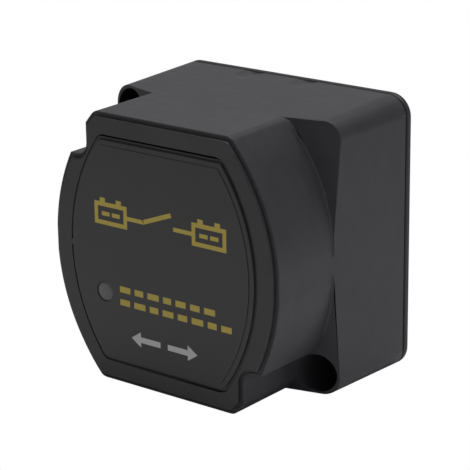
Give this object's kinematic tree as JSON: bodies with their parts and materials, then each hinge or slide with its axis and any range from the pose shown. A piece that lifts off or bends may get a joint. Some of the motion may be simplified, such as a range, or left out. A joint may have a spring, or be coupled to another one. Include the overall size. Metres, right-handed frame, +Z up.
{
  "type": "battery isolator relay",
  "caption": "Square battery isolator relay: moulded case with a barrel-shaped front lid, two stud terminals in a rear recess and a solenoid contactor inside.",
  "frame": {"origin": "middle of the bottom of the overall box", "axes": "+Z up, the label faces -Y, +Y out of the mounting face"},
  "size_m": [0.068, 0.052, 0.068],
  "materials": {
    "case_plastic": "satin",
    "shell_plastic": "satin",
    "lid_plastic": "satin",
    "seal_rubber": "matte",
    "plate_plastic": "satin",
    "label_print": "satin",
    "lens_plastic": "gloss",
    "plate_back_plastic": "satin",
    "screw_steel": "satin",
    "stud_main_brass": "satin",
    "stud_aux_brass": "satin",
    "washer_steel": "satin",
    "spring_washer_steel": "satin",
    "nut_steel": "satin",
    "grommet_rubber": "matte",
    "sense_main_copper": "satin",
    "sense_aux_copper": "satin",
    "fixed_contact_silver": "satin",
    "bridge_copper": "satin",
    "moving_contact_silver": "satin",
    "bush_nylon": "matte",
    "clip_steel": "satin",
    "contact_spring_steel": "satin",
    "seat_steel": "satin",
    "rod_steel": "satin",
    "plunger_steel": "satin",
    "return_spring_steel": "satin",
    "core_steel": "satin",
    "pole_steel": "satin",
    "yoke_steel": "satin",
    "bobbin_nylon": "matte",
    "winding_copper": "satin",
    "pin_tin": "satin",
    "sheet_fibre": "matte",
    "yoke_screw_steel": "satin",
    "board_green": "satin",
    "board_screw_steel": "satin",
    "led_body": "gloss",
    "chip_black": "matte",
    "capacitor_sleeve": "satin",
    "transistor_black": "matte",
    "diode_black": "matte",
    "resistor_black": "matte"
  },
  "bodies": {
    "case": {"housing": "case_plastic", "body_shell": "shell_plastic", "front_lid": "lid_plastic", "lid_seal": "seal_rubber", "label_plate": "plate_plastic", "label_film": "label_print", "indicator_lens": "lens_plastic", "back_plate": "plate_back_plastic", "back_plate_screws": "screw_steel", "terminal_stud_main": "stud_main_brass", "terminal_stud_aux": "stud_aux_brass", "flat_washers": "washer_steel", "spring_washers": "spring_washer_steel", "terminal_nuts": "nut_steel", "earth_lead_grommet": "grommet_rubber", "sense_strip_main": "sense_main_copper", "sense_strip_aux": "sense_aux_copper", "fixed_contacts": "fixed_contact_silver", "return_spring": "return_spring_steel", "fixed_core": "core_steel", "pole_plate": "pole_steel", "yoke": "yoke_steel", "coil_bobbin": "bobbin_nylon", "coil_winding": "winding_copper", "coil_pins": "pin_tin", "insulating_sheet": "sheet_fibre", "yoke_screws": "yoke_screw_steel", "circuit_board": "board_green", "board_screws": "board_screw_steel", "indicator_led": "led_body", "control_chip": "chip_black", "filter_capacitor": "capacitor_sleeve", "drive_transistor": "transistor_black", "flyback_diode": "diode_black", "chip_resistors": "resistor_black"},
    "plunger_assembly": {"plunger": "plunger_steel", "push_rod": "rod_steel", "spring_seat": "seat_steel", "bridge_clip": "clip_steel", "contact_spring": "contact_spring_steel"},
    "bridge": {"contact_bridge": "bridge_copper", "moving_contacts": "moving_contact_silver", "bridge_bush": "bush_nylon"}
  },
  "joints": [
    {"name": "plunger_slide", "type": "slide", "parent": "case", "child": "plunger_assembly", "axis": [0, 1, 0], "range_m": [0, 0.0023], "stiffness_N_per_m": 400, "springref_m": -0.004, "deforming": ["return_spring"]},
    {"name": "bridge_float", "type": "slide", "parent": "plunger_assembly", "child": "bridge", "axis": [0, -1, 0], "range_m": [0, 0.00052], "deforming": ["contact_spring"]}
  ],
  "couplings": [
    {"joint": "bridge_float", "follows": "plunger_slide", "ratio": 0.21739}
  ]
}
